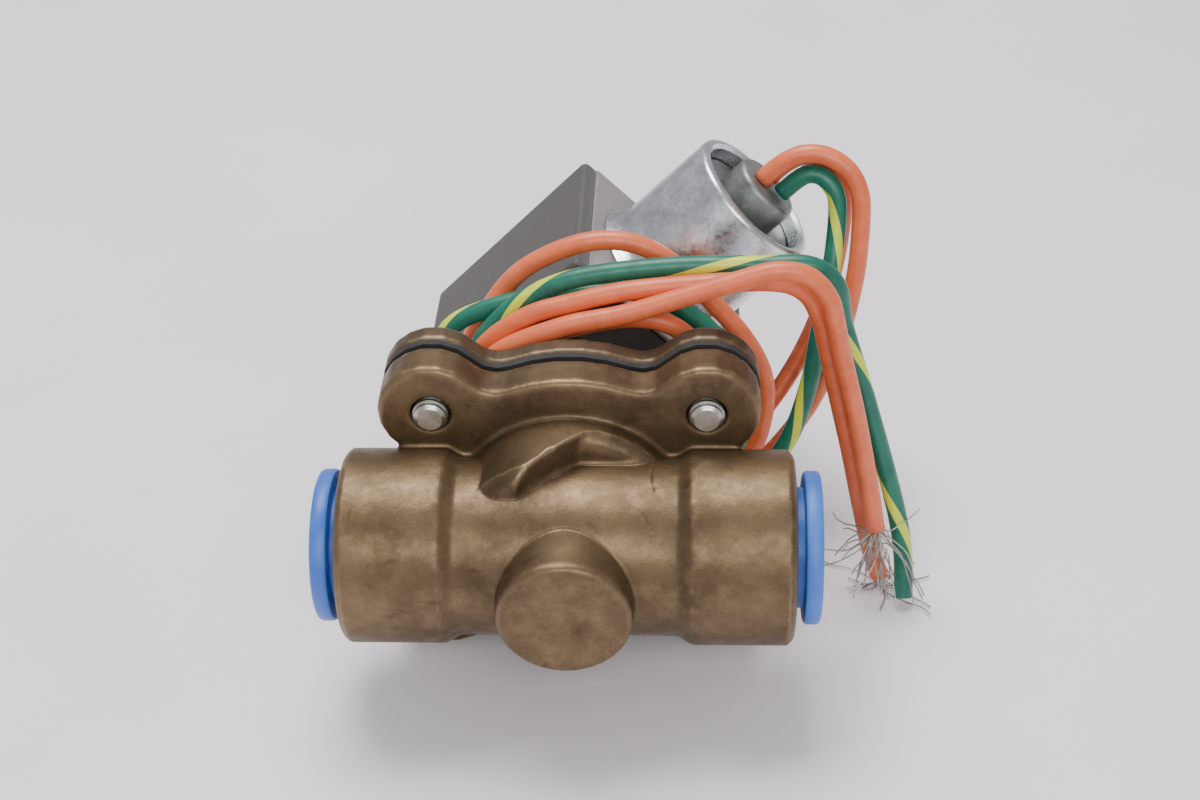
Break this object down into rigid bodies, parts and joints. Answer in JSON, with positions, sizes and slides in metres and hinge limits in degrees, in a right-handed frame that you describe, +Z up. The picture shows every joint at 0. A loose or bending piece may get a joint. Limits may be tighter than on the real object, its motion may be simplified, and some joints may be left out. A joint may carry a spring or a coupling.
{
  "type": "solenoid valve",
  "caption": "Pilot-operated solenoid valve with a bronze body, square coil, conduit hub, capped ports and flying leads.",
  "frame": {"origin": "centre of the resting footprint, on the surface that the valve lies on", "axes": "+X along the port axis towards the outlet, +Y along the solenoid axis from the bottom boss to the coil, +Z up from the surface"},
  "size_m": [0.0978, 0.102, 0.0691],
  "materials": {
    "cast_bronze": "sandblasted cast bronze, satin",
    "bonnet_bronze": "cast bronze, satin",
    "zinc_die_cast": "die-cast zinc, satin",
    "plated_steel": "zinc-plated, satin",
    "stainless": "turned, satin",
    "copper": "bare",
    "tinned_copper": "tinned strand",
    "magnet_wire": "enamelled",
    "coil_encapsulation": "moulded, slightly rough",
    "painted_plate": "dark paint, scratched",
    "bobbin_plastic": "moulded",
    "nitrile_rubber": "moulded",
    "blue_plastic": "soft moulded, satin",
    "bushing_metal": "dull grey-green",
    "blank_label": "blank printed film",
    "orange_insulation": "extruded, satin",
    "green_insulation": "extruded with a yellow spiral stripe, satin"
  },
  "bodies": {
    "valve": {"valve_body": "cast_bronze", "diaphragm": "nitrile_rubber", "bonnet": "bonnet_bronze", "core_tube": "stainless", "fixed_core": "stainless", "shading_ring": "copper", "plunger_spring": "stainless", "poppet_spring": "stainless", "tube_o_ring": "nitrile_rubber", "coil_housing": "coil_encapsulation", "coil_bobbin": "bobbin_plastic", "coil_winding": "magnet_wire", "hub_plate": "painted_plate", "nameplate": "blank_label", "conduit_hub": "zinc_die_cast", "lead_bushing": "bushing_metal", "retaining_nut": "plated_steel", "spring_washer": "plated_steel", "lead_orange_1": "orange_insulation", "lead_orange_2": "orange_insulation", "lead_ground": "green_insulation", "conductor_1": "tinned_copper", "conductor_2": "tinned_copper", "bonnet_bolt_1": "plated_steel", "bonnet_bolt_2": "plated_steel", "bonnet_bolt_3": "plated_steel", "bonnet_bolt_4": "plated_steel"},
    "plunger": {"plunger": "stainless", "plunger_seal": "nitrile_rubber"},
    "poppet": {"main_poppet": "cast_bronze", "poppet_seal": "nitrile_rubber"},
    "inlet_cap": {"inlet_cap": "blue_plastic"},
    "outlet_cap": {"outlet_cap": "blue_plastic"}
  },
  "joints": [
    {"name": "plunger_slide", "type": "slide", "parent": "valve", "child": "plunger", "axis": [0, 1, 0], "range_m": [0, 0.0016], "stiffness_N_per_m": 150, "springref_m": -0.004, "deforming": ["plunger_spring"]},
    {"name": "poppet_lift", "type": "slide", "parent": "valve", "child": "poppet", "axis": [0, 1, 0], "range_m": [0, 0.003], "stiffness_N_per_m": 300, "springref_m": -0.005, "deforming": ["poppet_spring"]},
    {"name": "inlet_cap_pull", "type": "slide", "parent": "valve", "child": "inlet_cap", "axis": [-1, 0, 0], "range_m": [0, 0.045]},
    {"name": "outlet_cap_pull", "type": "slide", "parent": "valve", "child": "outlet_cap", "axis": [1, 0, 0], "range_m": [0, 0.045]}
  ]
}
